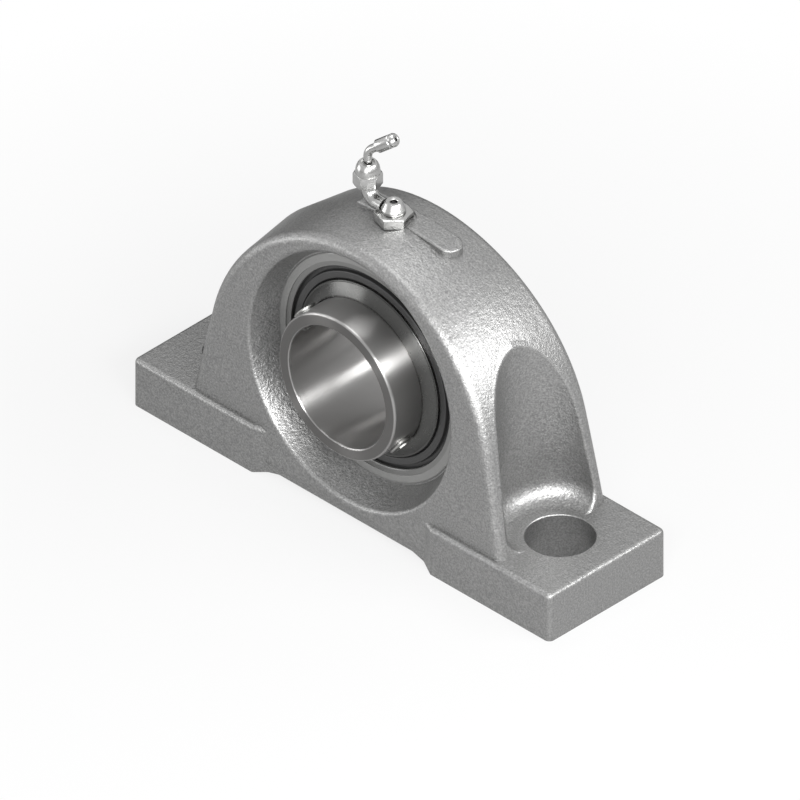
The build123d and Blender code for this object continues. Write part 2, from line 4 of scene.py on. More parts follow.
import bpy
from mathutils import Euler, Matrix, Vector


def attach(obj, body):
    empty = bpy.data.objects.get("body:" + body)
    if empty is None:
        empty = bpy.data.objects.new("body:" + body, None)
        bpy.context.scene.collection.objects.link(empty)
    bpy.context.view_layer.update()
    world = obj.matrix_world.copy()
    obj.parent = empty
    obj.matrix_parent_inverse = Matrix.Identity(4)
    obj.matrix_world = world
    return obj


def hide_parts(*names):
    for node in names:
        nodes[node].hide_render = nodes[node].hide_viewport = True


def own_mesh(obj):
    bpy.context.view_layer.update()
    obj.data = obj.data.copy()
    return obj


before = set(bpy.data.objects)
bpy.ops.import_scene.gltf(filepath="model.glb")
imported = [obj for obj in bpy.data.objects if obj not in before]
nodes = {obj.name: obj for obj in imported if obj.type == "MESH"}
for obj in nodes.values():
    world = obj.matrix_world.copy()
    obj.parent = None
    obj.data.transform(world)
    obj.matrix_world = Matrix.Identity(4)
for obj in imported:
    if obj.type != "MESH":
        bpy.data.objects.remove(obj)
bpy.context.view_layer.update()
MM = 0.001

# The casting of the housing.
# It is grey iron cast in sand, then shot-blasted all over and left bare, so that it is mid grey with a
# pebbled grain that glints. The blasting's finest dimples are drawn at 0.75 mm, coarser than real, to show.
GRAIN = 0.75 * MM
PEBBLE = 2.4 * MM
MOTTLE = 16 * MM
PARTING_DRAFT = math.radians(7.5)
PARTING_ROUND = 15 * MM

# The centre lines of the bore, the arch, the scooped pockets and the bolt holes.
SHAFT_HEIGHT = 63.5 * MM
ARCH_CENTRE = 44.4 * MM
SCOOP_PLACE = 81.4 * MM
BOLT_PLACE = 84.5 * MM

# Where one kind of skin ends and the next begins, each a little past the casting's own face.
ARCH_LIMIT = 78.15 * MM
RECESS_LIMIT = 56 * MM
SCOOP_LIMIT = 23.6 * MM
FOOT_LIMIT = 23 * MM
SEAT_LIMIT = 50.4 * MM
SEAT_HALF_LIMIT = 15.7 * MM
BOLT_HOLE_LIMIT = 13.9 * MM


def linear(colour):
    """An sRGB hex colour as linear red, green, blue and alpha."""
    parts = [int(colour[i:i + 2], 16) / 255 for i in (1, 3, 5)]
    return [p / 12.92 if p < 0.04045 else ((p + 0.055) / 1.055) ** 2.4 for p in parts] + [1.0]


def add_node(material, kind, links=None, **settings):
    """A node with its settings. Each input gets a number, an output, or a node's first output."""
    made = material.node_tree.nodes.new("ShaderNode" + kind)
    for name, value in settings.items():
        setattr(made, name, value)
    for name, value in (links or {}).items():
        if isinstance(value, bpy.types.Node):
            value = value.outputs[0]
        if isinstance(value, bpy.types.NodeSocket):
            material.node_tree.links.new(value, made.inputs[name])
        else:
            made.inputs[name].default_value = value
    return made


def new_material(name):
    """A material with only its shader in it."""
    material = bpy.data.materials.new(name)
    material.use_nodes = True
    return material


def feed(material, **sockets):
    """Gives each named socket of the shader a number, a colour or a node's first output."""
    shader = material.node_tree.nodes["Principled BSDF"]
    for name, value in sockets.items():
        socket = shader.inputs[name.replace("_", " ")]
        if isinstance(value, bpy.types.Node):
            material.node_tree.links.new(value.outputs[0], socket)
        else:
            socket.default_value = value


def dress(material, *names):
    """Gives CAD nodes a material."""
    for name in names:
        nodes[name].data.materials.clear()
        nodes[name].data.materials.append(material)


def distance_from(material, where, middle, across):
    """How far each point lies from a centre line through a middle, counting only what is across it."""
    offset = add_node(material, "VectorMath", {0: where, 1: middle}, operation="SUBTRACT")
    flat = add_node(material, "VectorMath", {0: offset, 1: across}, operation="MULTIPLY")
    return add_node(material, "VectorMath", {0: flat}, operation="LENGTH").outputs["Value"]


cast = new_material("shot_blasted_grey_iron")
where = add_node(cast, "TexCoord").outputs["Object"]
grain = add_node(cast, "TexNoise", {"Vector": where, "Scale": 1 / GRAIN, "Detail": 2.0, "Roughness": 0.6})
pebble = add_node(cast, "TexNoise", {"Vector": where, "Scale": 1 / PEBBLE, "Detail": 3.0, "Roughness": 0.55})
mottle = add_node(cast, "TexNoise", {"Vector": where, "Scale": 1 / MOTTLE, "Detail": 4.0})
folded = add_node(cast, "VectorMath", {0: where}, operation="ABSOLUTE")
apart = add_node(cast, "SeparateXYZ", {"Vector": folded})
from_bore = distance_from(cast, folded, (0, 0, SHAFT_HEIGHT), (1, 0, 1))
from_arch = distance_from(cast, folded, (0, 0, ARCH_CENTRE), (1, 0, 1))
from_scoop = distance_from(cast, folded, (SCOOP_PLACE, 0, 0), (1, 1, 0))
from_bolt = distance_from(cast, folded, (BOLT_PLACE, 0, 0), (1, 1, 0))

# The mould's parting line over the arch is ground away, so the two drafted halves meet in a round.
near = add_node(cast, "Math", {0: apart.outputs["Y"], 1: PARTING_ROUND}, operation="MINIMUM")
fall = add_node(cast, "Math", {0: near, 1: -0.5 / PARTING_ROUND, 2: 1.0}, operation="MULTIPLY_ADD")
crest = add_node(cast, "Math", {0: near, 1: fall}, operation="MULTIPLY")
height = add_node(cast, "Math", {0: crest, 1: math.tan(PARTING_DRAFT)}, operation="MULTIPLY")
outside = add_node(cast, "Math", {0: from_bore, 1: RECESS_LIMIT}, operation="GREATER_THAN")
limits = [
    (from_scoop, SCOOP_LIMIT, "GREATER_THAN"), (from_arch, ARCH_LIMIT, "LESS_THAN"),
    (apart.outputs["Z"], FOOT_LIMIT, "GREATER_THAN"),
]
for value, limit, side in limits:
    kept = add_node(cast, "Math", {0: value, 1: limit}, operation=side)
    outside = add_node(cast, "Math", {0: outside, 1: kept}, operation="MULTIPLY")
rounded = add_node(cast, "Bump", {"Height": height, "Distance": 1.0, "Strength": outside})

# The bolt holes and the seat are bored, so their grain fades.
drilled = add_node(cast, "Math", {0: from_bolt, 1: BOLT_HOLE_LIMIT}, operation="LESS_THAN")
within = add_node(cast, "Math", {0: from_bore, 1: SEAT_LIMIT}, operation="LESS_THAN")
behind = add_node(cast, "Math", {0: apart.outputs["Y"], 1: SEAT_HALF_LIMIT}, operation="LESS_THAN")
seat = add_node(cast, "Math", {0: within, 1: behind}, operation="MULTIPLY")
cut = add_node(cast, "Math", {0: drilled, 1: seat}, operation="MAXIMUM")
blasted = add_node(cast, "MapRange", {"Value": cut, "To Min": 0.6, "To Max": 0.12})
pitted = add_node(cast, "MapRange", {"Value": cut, "To Min": 0.5, "To Max": 0.1})
coarse = add_node(cast, "Bump", {
    "Height": pebble, "Strength": pitted, "Distance": 0.5 * MM, "Normal": rounded,
})
fine = add_node(cast, "Bump", {
    "Height": grain, "Strength": blasted, "Distance": 0.25 * MM, "Normal": coarse,
})
tone = add_node(cast, "ValToRGB", {"Fac": grain})
tone.color_ramp.elements[0].position = 0.34
tone.color_ramp.elements[0].color = linear("#727272")
tone.color_ramp.elements[1].position = 0.68
tone.color_ramp.elements[1].color = linear("#8e8e8d")
rough = add_node(cast, "MapRange", {"Value": mottle, "To Min": 0.36, "To Max": 0.48})
feed(cast, Base_Color=tone, Roughness=rough, Normal=fine, Metallic=0.85)
dress(cast, "housing")

# The outer ring.
# It is turned from bearing steel, and its spherical outside sits in the housing. The outer band of its
# faces is matt and lighter, and the land next to the seal is smooth. The matt grain is drawn coarse, to show.
LAND_EDGE = 44.0 * MM
LAND_BLEND = 0.1 * MM
MATT_GRAIN = 0.8 * MM
turned = new_material("turned_outer_ring_steel")
where = add_node(turned, "TexCoord").outputs["Object"]
from_bore = distance_from(turned, where, (0, 0, SHAFT_HEIGHT), (1, 0, 1))
grain = add_node(turned, "TexNoise", {"Vector": where, "Scale": 1 / MATT_GRAIN, "Detail": 2.0})
matt = add_node(turned, "MapRange", {
    "Value": from_bore, "From Min": LAND_EDGE - LAND_BLEND, "From Max": LAND_EDGE + LAND_BLEND,
})
tone = add_node(turned, "ValToRGB", {"Fac": matt})
tone.color_ramp.elements[0].color = linear("#7b7b7a")
tone.color_ramp.elements[1].color = linear("#8f8f8e")
rough = add_node(turned, "MapRange", {"Value": matt, "To Min": 0.32, "To Max": 0.5})
pitted = add_node(turned, "MapRange", {"Value": matt, "To Min": 0.05, "To Max": 0.45})
bumps = add_node(turned, "Bump", {"Height": grain, "Strength": pitted, "Distance": 0.25 * MM})
feed(turned, Base_Color=tone, Roughness=rough, Normal=bumps, Metallic=0.9)
dress(turned, "outer_ring")

# The balls.
# Ten balls of hardened chrome steel roll between the two rings. They are ground and lapped, which makes
# them mirrors. A polish drifts over a few millimetres, and that is their haze.
BALLS = 10


def hazed_metal(name, colour, haze, low, high, detail=2.0, metallic=1.0, dent=None):
    """A metal whose roughness drifts between two values, over patches of haze, a size in millimetres.
    A dent is the strength, and the depth in millimetres, of the same patches as a bump."""
    material = new_material(name)
    where = add_node(material, "TexCoord").outputs["Object"]
    patches = add_node(material, "TexNoise", {"Vector": where, "Scale": 1 / (haze * MM), "Detail": detail})
    rough = add_node(material, "MapRange", {"Value": patches, "To Min": low, "To Max": high})
    feed(material, Base_Color=linear(colour), Roughness=rough, Metallic=metallic)
    if dent:
        strength, depth = dent
        bumps = add_node(material, "Bump", {"Height": patches, "Strength": strength, "Distance": depth * MM})
        feed(material, Normal=bumps)
    return material


polished = hazed_metal("polished_ball_steel", "#b6b6b5", haze=2, low=0.06, high=0.12)
dress(polished, *["ball_%02d" % (n + 1) for n in range(BALLS)])

# The cage.
# It is stamped from steel strip and keeps the balls apart. Cold-worked sheet has a dull sheen, with
# shallow dents from the tool.
stamped = hazed_metal(
    "stamped_cage_steel", "#8e8d8b", haze=1.2, low=0.3, high=0.45, detail=3.0, dent=(0.2, 0.05),
)
dress(stamped, "cage")

# The inner ring.
# It is bearing steel, hardened and ground. The grinding lines round the bore draw each light out into a
# streak along the shaft, and are drawn at 0.35 mm, coarser than real. The collar's end face is painted
# darker, a painted shade.
RING_LINES = 0.35 * MM
COLLAR_FACE = -33.4 * MM
FACE_START, FACE_END = 0.05 * MM, 0.2 * MM
ground = new_material("ground_bearing_steel")
where = add_node(ground, "TexCoord").outputs["Object"]
apart = add_node(ground, "SeparateXYZ", {"Vector": where})
from_bore = distance_from(ground, where, (0, 0, SHAFT_HEIGHT), (1, 0, 1))
lathe = add_node(ground, "CombineXYZ", {"X": from_bore, "Y": apart.outputs["Y"]})
lines = add_node(ground, "TexNoise", {"Vector": lathe, "Scale": 1 / RING_LINES, "Detail": 2.0})
# The collar's end face gets the darker colour, #666564: a painted shade, not a different steel.
painted_shade_face = add_node(ground, "MapRange", {
    "Value": apart.outputs["Y"], "From Min": COLLAR_FACE + FACE_START, "From Max": COLLAR_FACE + FACE_END,
})
tone = add_node(ground, "ValToRGB", {"Fac": painted_shade_face})
tone.color_ramp.elements[0].color = linear("#666564")
tone.color_ramp.elements[1].color = linear("#9c9b9a")
rough = add_node(ground, "MapRange", {"Value": lines, "To Min": 0.27, "To Max": 0.35})
bumps = add_node(ground, "Bump", {"Height": lines, "Strength": 0.12, "Distance": 0.02 * MM})
feed(ground, Base_Color=tone, Roughness=rough, Normal=bumps, Metallic=1.0)


def streak_along_shaft(material):
    """Draws a metal's highlights out along the shaft, as fine lines round it do."""
    round_bore = add_node(material, "Tangent", direction_type="RADIAL", axis="Y")
    feed(material, Tangent=round_bore, Anisotropic=0.95, Anisotropic_Rotation=0.25)


streak_along_shaft(ground)
dress(ground, "inner_ring")

# The seals.
# Each is a ring of nitrile rubber moulded on a pressed steel washer. It snaps into a groove of the
# outer ring, and its thin lip rubs on the inner ring. The rubber is matt and near black.

# The mould's grain is far finer than this and is drawn coarse, to show.
RUBBER_GRAIN = 0.5 * MM
SMOOTH_ANGLE = math.radians(30)
WELD = 0.002 * MM
BORE_CENTRE = Vector((0, 0, SHAFT_HEIGHT))
ALONG_SHAFT = Vector((0, 1, 0))


def bare_selection():
    """Goes back to object mode, with nothing selected."""
    if bpy.context.object and bpy.context.object.mode == "EDIT":
        bpy.ops.object.mode_set(mode="OBJECT")
    bpy.ops.object.select_all(action="DESELECT")


def settle(piece, material, body, replaced):
    """Fixes a finished piece's place in its mesh, dresses it and lets it ride on its body."""
    bare_selection()
    bpy.context.view_layer.objects.active = piece
    piece.select_set(True)
    bpy.ops.object.transform_apply(location=True, rotation=True, scale=True)
    bpy.ops.object.shade_smooth_by_angle(angle=SMOOTH_ANGLE)
    piece.data.materials.clear()
    piece.data.materials.append(material)
    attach(piece, body)
    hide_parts(*replaced)
    bare_selection()


def apply_modifier(piece, kind, **settings):
    """Adds a modifier with its settings and applies it."""
    bpy.context.view_layer.objects.active = piece
    modifier = piece.modifiers.new(kind.lower(), kind)
    for name, value in settings.items():
        setattr(modifier, name, value)
    bpy.ops.object.modifier_apply(modifier=modifier.name)


def ease_edges(piece, width, angle=28, segments=3):
    """Rounds the sharp edges of a piece to a width in millimetres, as tumbling and plating do."""
    apply_modifier(
        piece, "BEVEL", width=width * MM, segments=segments, limit_method="ANGLE",
        angle_limit=math.radians(angle), use_clamp_overlap=True, harden_normals=False,
    )


def turned_piece(name, corners, foot, axis, steps=96, ease=0.0):
    """A piece turned on a lathe. Its half section is drawn corner by corner, each a radius and a
    height in millimetres, and spun about the axis from the foot."""
    axis = Vector(axis).normalized()
    side = axis.orthogonal().normalized()
    points = [Vector(foot) + (side * r + axis * h) * MM for r, h in [*corners, corners[0]]]
    bare_selection()
    bpy.ops.mesh.primitive_plane_add(size=MM, location=(0, 0, 0))
    piece = bpy.context.object
    piece.name = name
    bpy.ops.object.mode_set(mode="EDIT")
    bpy.ops.mesh.select_all(action="SELECT")
    bpy.ops.mesh.merge(type="CENTER")
    bpy.ops.transform.translate(value=points[0])
    for start, end in zip(points, points[1:]):
        bpy.ops.mesh.extrude_region_move(TRANSFORM_OT_translate={"value": end - start})
    bpy.ops.mesh.select_all(action="SELECT")
    bpy.ops.mesh.remove_doubles(threshold=WELD)
    bpy.ops.mesh.select_all(action="SELECT")
    bpy.ops.mesh.spin(steps=steps, angle=math.tau, center=foot, axis=axis)
    bpy.ops.mesh.select_all(action="SELECT")
    bpy.ops.mesh.remove_doubles(threshold=WELD)
    bpy.ops.mesh.normals_make_consistent(inside=False)
    bpy.ops.object.mode_set(mode="OBJECT")
    if ease:
        ease_edges(piece, ease)
    return piece


SEAL_SECTION = [
    (34.8, 12.7), (43.2, 12.7), (43.2, 13.5), (40.3, 13.5), (39.9, 13.9), (39.9, 15.45), (39.65, 15.7),
    (37.15, 15.7), (36.95, 15.5), (36.3, 13.6), (34.8, 13.6),
]
SIDES = {"front": -ALONG_SHAFT, "back": ALONG_SHAFT}
rubber = new_material("moulded_nitrile_rubber")
where = add_node(rubber, "TexCoord").outputs["Object"]
grain = add_node(rubber, "TexNoise", {"Vector": where, "Scale": 1 / RUBBER_GRAIN, "Detail": 2.0})
bumps = add_node(rubber, "Bump", {"Height": grain, "Strength": 0.2, "Distance": 0.05 * MM})
feed(rubber, Base_Color=linear("#262626"), Roughness=0.45, Normal=bumps)
for end, outward in SIDES.items():
    seal = turned_piece("seal_%s_moulded" % end, SEAL_SECTION, BORE_CENTRE, outward, ease=0.12)
    settle(seal, rubber, "outer_ring", ["seal_" + end])

# The flingers.
# Each is a dished steel plate with a rolled rim, pressed on the inner ring's collar, so that it turns with
# the shaft and throws dirt off the seal. Its colour is painted dark, a painted reflection of the dark gap
# round it, and its highlights are streaked along the shaft.
FLINGER_SECTION = [
    (30.52, 14.3), (31.25, 14.3), (31.25, 17.9), (31.7, 18.0), (35.5, 15.85), (36.1, 15.6), (36.35, 15.75),
    (36.38, 16.1), (36.15, 16.35), (35.75, 16.3), (35.5, 16.45), (31.6, 19.0), (30.9, 19.08), (30.52, 18.9),
]
# The dark base colour, #545453, is a painted reflection of the dark gap round the flinger.
pressed = hazed_metal("pressed_steel_painted_dark", "#545453", haze=3, low=0.24, high=0.32, detail=3.0)
streak_along_shaft(pressed)
for end, outward in SIDES.items():
    flinger = turned_piece("flinger_%s_pressed" % end, FLINGER_SECTION, BORE_CENTRE, outward, ease=0.12)
    settle(flinger, pressed, "inner_ring", ["flinger_" + end])

# The set screws.
# Two socket screws of hardened steel stand in threaded holes of the collar and hold the shaft. Their top
# has a broached hexagon socket. The zinc plate on them is satin and light grey.
SCREW_RADIUS = 4.8
SCREW_ROOT = 4.35
SCREW_TIP = 3.4
SCREW_TOP = 31.8
SCREW_FOOT = 25.5
SCREW_LEAD = 0.9
SCREW_HEAD = 0.7
SCREW_PITCH = 1.0
SCREW_PLACE = -25.2 * MM
SCREW_ANGLES = {"left": 142.3, "right": -34.7}
SOCKET_FLATS = 5.0
SOCKET_DEPTH = 3.2
SOCKET_TURN = 20
screw_steel = hazed_metal("zinc_plated_screw_steel", "#9c9c9a", haze=0.8, low=0.25, high=0.4)


def prism(name, flats, low, high, foot, axis, turn):
    """A hexagonal bar between two heights on an axis, its flats a distance apart, turned by degrees."""
    axis = Vector(axis).normalized()
    bare_selection()
    bpy.ops.mesh.primitive_cylinder_add(
        vertices=6, radius=flats / math.sqrt(3) * MM, depth=(high - low) * MM,
        location=Vector(foot) + axis * (low + high) / 2 * MM,
    )
    bar = bpy.context.object
    bar.name = name
    tilt = axis.to_track_quat("Z", "Y")
    bar.rotation_euler = (tilt @ Euler((0, 0, math.radians(turn))).to_quaternion()).to_euler()
    bpy.ops.object.transform_apply(location=True, rotation=True, scale=True)
    return bar


def combine(piece, tool, operation):
    """Cuts a piece by a tool shape, or joins it to one, and removes the tool."""
    apply_modifier(piece, "BOOLEAN", object=tool, operation=operation, solver="EXACT")
    bpy.data.objects.remove(tool)


foot = BORE_CENTRE + ALONG_SHAFT * SCREW_PLACE
for name, angle in SCREW_ANGLES.items():
    outward = Vector((math.cos(math.radians(angle)), 0, math.sin(math.radians(angle))))
    section = [(0, SCREW_FOOT), (SCREW_TIP, SCREW_FOOT), (4.4, SCREW_FOOT + SCREW_LEAD)]
    turns = int((SCREW_TOP - SCREW_FOOT - SCREW_LEAD - SCREW_HEAD) / SCREW_PITCH)
    for n in range(turns):
        low = SCREW_FOOT + SCREW_LEAD + n * SCREW_PITCH
        section += [(SCREW_RADIUS, low + 0.45), (SCREW_RADIUS, low + 0.6), (SCREW_ROOT, low + 1.0)]
    section += [(SCREW_RADIUS, SCREW_TOP - 0.5), (4.1, SCREW_TOP), (0, SCREW_TOP)]
    screw = turned_piece("set_screw_%s_cut" % name, section, foot, outward, steps=48)
    socket_foot = SCREW_TOP - SOCKET_DEPTH
    socket = prism("socket", SOCKET_FLATS, socket_foot, SCREW_TOP + 1, foot, outward, SOCKET_TURN)
    combine(screw, socket, "DIFFERENCE")
    ease_edges(screw, 0.12, angle=40, segments=2)
    settle(screw, screw_steel, "inner_ring", ["set_screw_" + name])

# The adapter of the grease fitting.
# It is turned from hexagon bar, with a threaded stub below that screws into the crown. The corners
# of its top are turned off, and the elbow is brazed into its side.
UP = Vector((0, 0, 1))
FITTING_FOOT = Vector((-3.0, 0, 122.1)) * MM
HEX_FLATS = 13.0
HEX_TOP = 4.0
HEX_TURN = 75
STUB_RADIUS = 4.4
STUB_THREADS = 6

# The whole fitting has bright nickel plate, a soft mirror that turns from white to mid grey at its edges.
nickel = hazed_metal(
    "bright_nickel_plate", "#a9a9a8", haze=1.5, low=0.16, high=0.3, detail=3.0, dent=(0.1, 0.03),
)
adapter = prism("fitting_adapter_turned", HEX_FLATS, 0, HEX_TOP, FITTING_FOOT, UP, HEX_TURN)
crown_section = [(0, -0.5), (8.2, -0.5), (8.2, 3.25), (6.3, HEX_TOP), (0, HEX_TOP)]
combine(adapter, turned_piece("crown", crown_section, FITTING_FOOT, UP), "INTERSECT")
stub = [(0, 0.5), (0, -7.4), (3.7, -7.4)]
for n in range(STUB_THREADS):
    stub += [(STUB_RADIUS, -6.9 + n), (STUB_RADIUS, -6.7 + n), (3.9, -6.3 + n)]
stub += [(4.1, -0.4), (4.1, 0.5)]
combine(adapter, turned_piece("stub", stub, FITTING_FOOT, UP, steps=48), "UNION")
passage = [(0, -8), (1.5, -8), (1.5, 0.6), (2.5, 0.6), (2.5, 5), (0, 5)]
combine(adapter, turned_piece("passage", passage, FITTING_FOOT, UP, steps=48), "DIFFERENCE")
ease_edges(adapter, 0.18)
settle(adapter, nickel, "housing", ["fitting_adapter"])

# The straight nipple.
# It is turned from steel and pressed into the adapter, with a cone for the grease gun and a mouth,
# where the check ball sits, that looks dark from the ball's painted shade.
NIPPLE_FOOT = FITTING_FOOT + UP * HEX_TOP * MM
nipple_section = [
    (1.8, -3.2), (2.45, -3.2), (2.45, 0.02), (4.3, 0.02), (4.7, 0.35), (4.7, 1.5), (4.5, 1.8), (3.3, 4.2),
    (3.0, 4.55), (1.9, 4.6), (1.35, 4.25), (1.3, 3.2), (1.8, 2.7),
]
nipple = turned_piece("nipple_turned", nipple_section, NIPPLE_FOOT, UP, ease=0.1)
settle(nipple, nickel, "housing", ["nipple"])

# The check balls and their springs.
# Each ball is pressed on its seat by a spring wound from thin steel wire, which is squeezed as grease
# pushes the ball away. Both are coloured near black, a painted shade, so that the nipples' mouths look dark.
SPRING_WIRE = 0.35
SPRING_TURNS = 4
# The near-black colour is painted shade, which darkens the nipples' mouths.
painted_shade_black = hazed_metal("steel_painted_black_shade", "#1c1c1d", haze=0.6, low=0.35, high=0.5, metallic=0.6)
dress(painted_shade_black, "nipple_ball", "tip_ball")


def wound_spring(name, radius, height, foot, axis, replaced):
    """A coil spring that stands on its foot, its radius and height in millimetres."""
    axis = Vector(axis).normalized()
    bare_selection()
    bpy.ops.mesh.primitive_circle_add(
        vertices=8, radius=SPRING_WIRE / 2 * MM, location=(radius * MM, 0, 0),
        rotation=(math.radians(90), 0, 0),
    )
    spring = bpy.context.object
    spring.name = name
    bpy.ops.object.transform_apply(location=True, rotation=True, scale=True)
    apply_modifier(
        spring, "SCREW", angle=math.tau, iterations=SPRING_TURNS, steps=28, render_steps=28,
        screw_offset=height / SPRING_TURNS * MM, axis="Z",
    )
    bpy.ops.object.mode_set(mode="EDIT")
    bpy.ops.mesh.select_all(action="SELECT")
    bpy.ops.mesh.fill_holes(sides=0)
    bpy.ops.mesh.select_all(action="SELECT")
    bpy.ops.mesh.normals_make_consistent(inside=False)
    bpy.ops.object.mode_set(mode="OBJECT")
    spring.rotation_euler = axis.to_track_quat("Z", "Y").to_euler()
    spring.location = foot
    settle(spring, painted_shade_black, "housing", [replaced])
    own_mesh(spring)


NIPPLE_SPRING_DEPTH = 3.0
wound_spring(
    "nipple_spring_wound", radius=1.2, height=4.33, foot=NIPPLE_FOOT - UP * NIPPLE_SPRING_DEPTH * MM, axis=UP,
    replaced="nipple_spring",
)

# The elbow tube.
# It is a steel tube, brazed into the side of the adapter and bent up to the union nut. Its plate is the
# adapter's.
TUBE_RADIUS = 3.0
TUBE_START = 4.9
TUBE_REACH = 13.6
TUBE_HEIGHT = 3.9
TUBE_BEND = 5.4
TUBE_IN_NUT = 2.5
NUT_FOOT_HEIGHT = 9.7


def bent_tube(name, radius, start, heading, first, bend, angle, last, toward):
    """A tube of round section: a straight run, a bend towards a direction, and a second run."""
    heading = Vector(heading).normalized()
    toward = Vector(toward).normalized()
    bare_selection()
    bpy.ops.mesh.primitive_circle_add(
        vertices=40, radius=radius * MM, fill_type="NGON", location=start,
        rotation=heading.to_track_quat("Z", "Y").to_euler(),
    )
    tube = bpy.context.object
    tube.name = name
    bpy.ops.object.transform_apply(location=True, rotation=True, scale=True)
    bpy.ops.object.mode_set(mode="EDIT")
    bpy.ops.mesh.select_all(action="SELECT")
    bpy.ops.mesh.extrude_region_move(TRANSFORM_OT_translate={"value": heading * first * MM})
    turn = Vector(start) + heading * first * MM + toward * bend * MM
    axis = toward.cross(heading)
    bpy.ops.mesh.spin(steps=14, angle=math.radians(angle), center=turn, axis=axis)
    lean = math.radians(angle)
    after = heading * math.cos(lean) + toward * math.sin(lean)
    bpy.ops.mesh.extrude_region_move(TRANSFORM_OT_translate={"value": after * last * MM})
    bpy.ops.mesh.select_all(action="SELECT")
    bpy.ops.mesh.remove_doubles(threshold=WELD)
    bpy.ops.mesh.normals_make_consistent(inside=False)
    bpy.ops.object.mode_set(mode="OBJECT")
    return tube


elbow_start = FITTING_FOOT + Vector((-TUBE_START, 0, TUBE_HEIGHT)) * MM
run = TUBE_REACH - TUBE_START - TUBE_BEND
rise = NUT_FOOT_HEIGHT + TUBE_IN_NUT - TUBE_HEIGHT - TUBE_BEND
elbow = bent_tube("fitting_elbow_bent", TUBE_RADIUS, elbow_start, (-1, 0, 0), run, TUBE_BEND, 90, rise, UP)
settle(elbow, nickel, "housing", ["fitting_elbow"])

# The union nut.
# It is turned from hexagon steel bar, with a domed top, and pulls the neck's collar down on the elbow.
# It is plated as the adapter is.
NUT_FOOT = FITTING_FOOT + Vector((-TUBE_REACH, 0, NUT_FOOT_HEIGHT)) * MM
NUT_FLATS = 9.9
NUT_BAND = 5.4
NUT_TOP = NUT_BAND + 4.7
nut = prism("union_nut_turned", NUT_FLATS, 0, NUT_BAND, NUT_FOOT, UP, HEX_TURN)
band_section = [(0, -0.1), (4.9, -0.1), (5.9, 0.5), (5.9, NUT_BAND - 0.8), (4.9, NUT_BAND), (0, NUT_BAND)]
combine(nut, turned_piece("band", band_section, NUT_FOOT, UP), "INTERSECT")
dome_section = [
    (0, 4.4), (4.75, 4.4), (4.75, 6.1), (4.7, 7.0), (4.5, 8.0), (4.1, 9.0), (3.6, 9.8), (3.3, NUT_TOP),
    (2.6, NUT_TOP), (2.5, NUT_TOP - 0.9), (0, NUT_TOP - 0.9),
]
combine(nut, turned_piece("dome", dome_section, NUT_FOOT, UP), "UNION")
ease_edges(nut, 0.15)
settle(nut, nickel, "housing", ["union_nut"])

# The neck.
# It is a thin steel tube that leaves the union nut and leans over towards the tip nipple. It is bent
# cold, and plated as the rest of the fitting is.
NECK_RADIUS = 1.7
NECK_START = NUT_BAND - 1.4
NECK_RISE = 2.6
NECK_BEND = 5.0
NECK_LEAN = 54
NECK_TURN = math.radians(22)
NECK_RUN = 2.4
NECK_IN_TIP = 2.0
NECK_SIDE = Vector((math.cos(NECK_TURN), math.sin(NECK_TURN), 0))
neck_first = NUT_TOP + NECK_RISE - NECK_START
neck_last = NECK_RUN + NECK_IN_TIP
neck = bent_tube(
    "fitting_neck_bent", NECK_RADIUS, NUT_FOOT + UP * NECK_START * MM, UP, neck_first, NECK_BEND,
    NECK_LEAN, neck_last, NECK_SIDE,
)
settle(neck, nickel, "housing", ["fitting_neck"])

# The tip nipple.
# It is a small turned sleeve on the neck's end, with a groove for the grease gun's jaws and a mouth,
# where the second check ball sits, that looks dark from the ball's painted shade. Its spring stands behind
# the ball.
lean = math.radians(NECK_LEAN)
corner = NECK_BEND * math.tan(lean / 2)
corner_height = NUT_TOP + NECK_RISE + corner
TIP_AXIS = NECK_SIDE * math.sin(lean) + UP * math.cos(lean)
TIP_FOOT = NUT_FOOT + UP * corner_height * MM + TIP_AXIS * (corner + NECK_RUN) * MM
tip_section = [
    (1.72, 0), (2.3, 0), (2.7, 0.4), (2.7, 6.5), (2.4, 6.75), (2.4, 7.1), (2.7, 7.35), (2.7, 8.2),
    (2.35, 8.9), (1.8, 9.4), (1.0, 9.4), (0.8, 9.1), (0.75, 8.5), (1.1, 8.2), (1.1, 2.0), (1.72, 2.0),
]
tip = turned_piece("tip_nipple_turned", tip_section, TIP_FOOT, TIP_AXIS, steps=64, ease=0.1)
settle(tip, nickel, "housing", ["tip_nipple"])
TIP_SPRING_START = 2.2
wound_spring(
    "tip_spring_wound", radius=0.75, height=4.98, foot=TIP_FOOT + TIP_AXIS * TIP_SPRING_START * MM,
    axis=TIP_AXIS, replaced="tip_spring",
)

# The studio.
# A white floor that keeps the part's shadow and turns to full white away from it, a white world, soft
# lamps, and a dark card out of view that gives bright metal something dark to reflect.
AZIMUTH, ELEVATION = math.radians(44.7), math.radians(35.45)
FRAME_WIDTH = 298.8 * MM
AIM_HEIGHT = 50 * MM
AIM_RIGHT = 0.22 * MM
AIM_DOWN = 7.43 * MM
CAMERA_DISTANCE = 1.2
level = math.cos(ELEVATION)
to_camera = Vector((math.sin(AZIMUTH) * level, -math.cos(AZIMUTH) * level, math.sin(ELEVATION)))
across = Vector((math.cos(AZIMUTH), math.sin(AZIMUTH), 0))
upward = to_camera.cross(across)
middle = Vector((0, 0, AIM_HEIGHT))
camera = bpy.data.objects.new("camera", bpy.data.cameras.new("camera"))
bpy.context.scene.collection.objects.link(camera)
camera.data.type = "ORTHO"
camera.data.ortho_scale = FRAME_WIDTH
camera.location = middle + across * AIM_RIGHT - upward * AIM_DOWN + to_camera * CAMERA_DISTANCE
camera.rotation_euler = to_camera.to_track_quat("Z", "Y").to_euler()
bpy.context.scene.camera = camera


